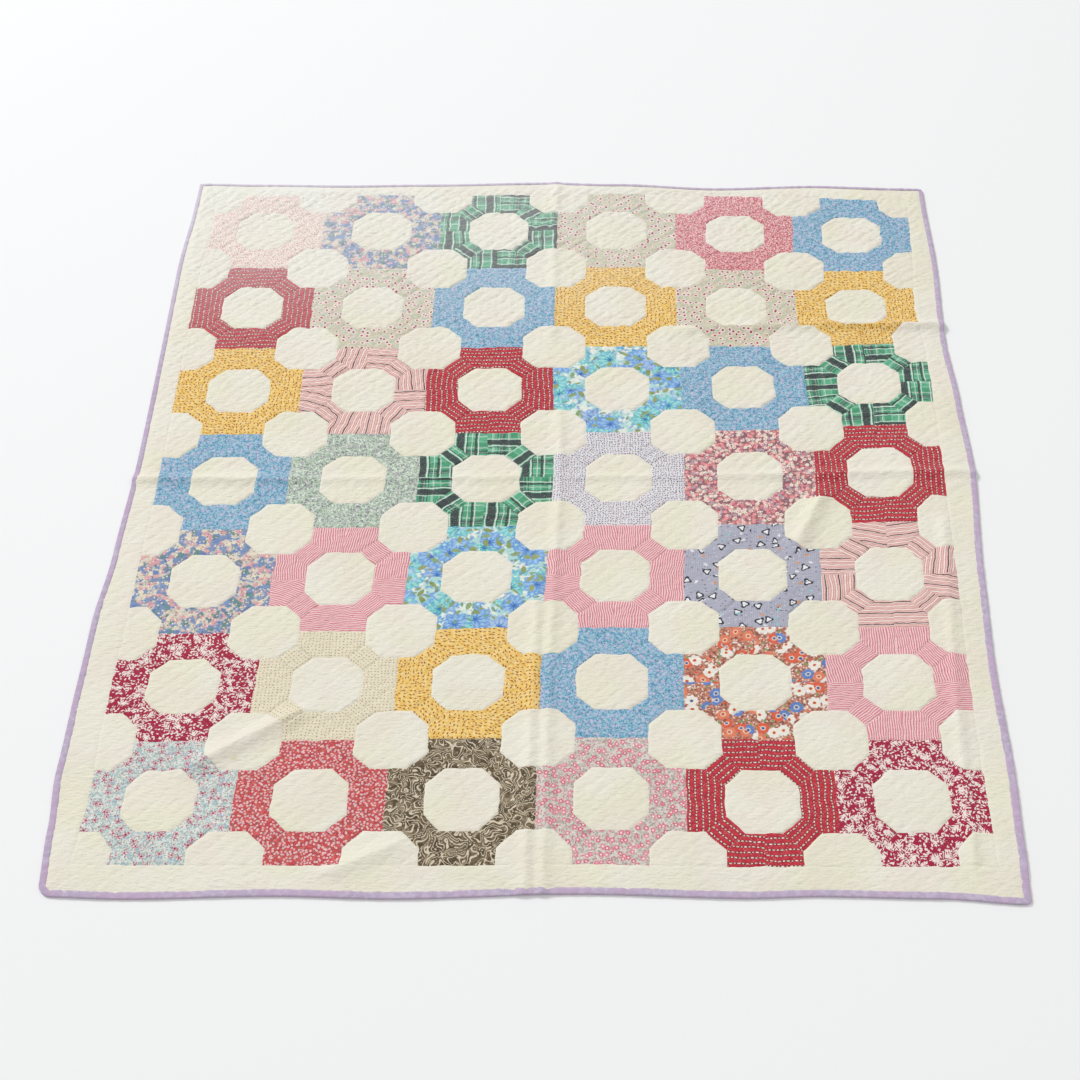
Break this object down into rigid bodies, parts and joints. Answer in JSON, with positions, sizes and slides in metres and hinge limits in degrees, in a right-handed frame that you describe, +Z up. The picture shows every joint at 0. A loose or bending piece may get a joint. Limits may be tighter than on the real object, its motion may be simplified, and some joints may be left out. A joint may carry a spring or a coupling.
{
  "type": "patchwork quilt",
  "caption": "Pieced and hand-quilted cotton bed quilt lying flat, with print rings round plain octagons, a plain border and a narrow folded binding.",
  "frame": {"origin": "centre of the quilt's underside, on the surface that it lies on", "axes": "+X to the quilt's right and +Y to its head, seen from above with its foot nearest; +Z up through the cloth"},
  "size_m": [1.9732, 2.2934, 0.0135],
  "materials": {
    "quilted_cotton": "soft matte quilted cotton",
    "binding_cotton": "matte plain-weave cotton"
  },
  "bodies": {
    "root": {"quilt": "quilted_cotton", "binding_left": "binding_cotton", "binding_right": "binding_cotton", "binding_head": "binding_cotton", "binding_foot": "binding_cotton"}
  },
  "joints": []
}
